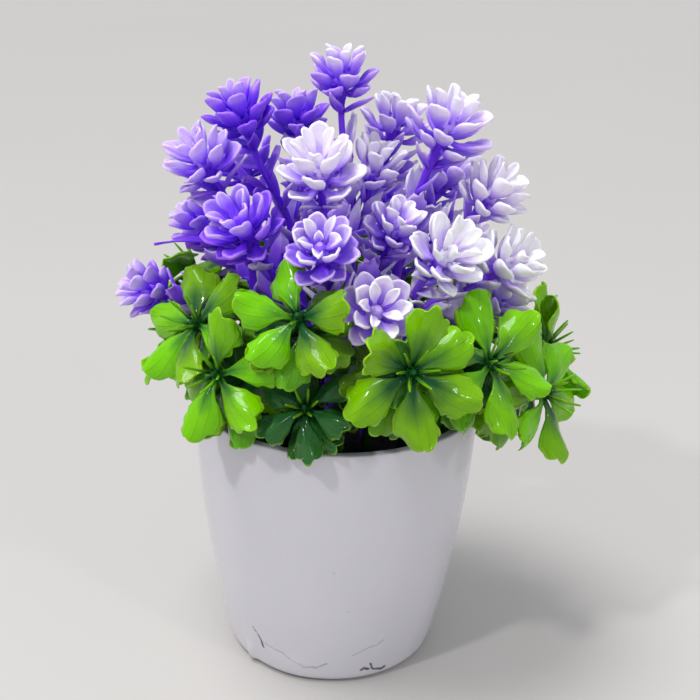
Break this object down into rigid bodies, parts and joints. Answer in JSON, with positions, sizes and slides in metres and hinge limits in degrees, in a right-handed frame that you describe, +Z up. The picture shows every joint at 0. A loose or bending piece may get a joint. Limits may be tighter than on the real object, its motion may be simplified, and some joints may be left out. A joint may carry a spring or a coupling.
{
  "type": "potted artificial flowering plant",
  "caption": "Small artificial plant: violet and lilac flower heads over a ring of lobed green leaves, in a plain white tapering pot.",
  "frame": {"origin": "centre of the pot's flat base, on the surface that it stands on", "axes": "+Z up along the pot's axis, -Y towards the side that the picture shows"},
  "size_m": [0.1315, 0.115, 0.1734],
  "materials": {
    "pot": "gloss",
    "plug": "matt, crumbly",
    "leaf": "gloss",
    "violet": "satin",
    "lilac": "satin",
    "white": "satin"
  },
  "bodies": {
    "root": {"pot": "pot", "filler_plug": "plug", "flower_spray_01": "violet", "flower_spray_02": "violet", "flower_spray_03": "violet", "flower_spray_04": "lilac", "flower_spray_05": "lilac", "flower_spray_06": "lilac", "flower_spray_07": "white", "flower_spray_08": "lilac", "flower_spray_09": "violet", "flower_spray_10": "lilac", "leaf_sprig_01": "leaf", "leaf_sprig_02": "leaf", "leaf_sprig_03": "leaf", "leaf_sprig_04": "leaf", "leaf_sprig_05": "leaf", "leaf_sprig_06": "leaf", "leaf_sprig_07": "leaf", "leaf_sprig_08": "leaf", "leaf_sprig_09": "leaf", "leaf_sprig_10": "leaf", "leaf_sprig_11": "leaf", "leaf_sprig_12": "leaf", "leaf_sprig_13": "leaf"}
  },
  "joints": []
}
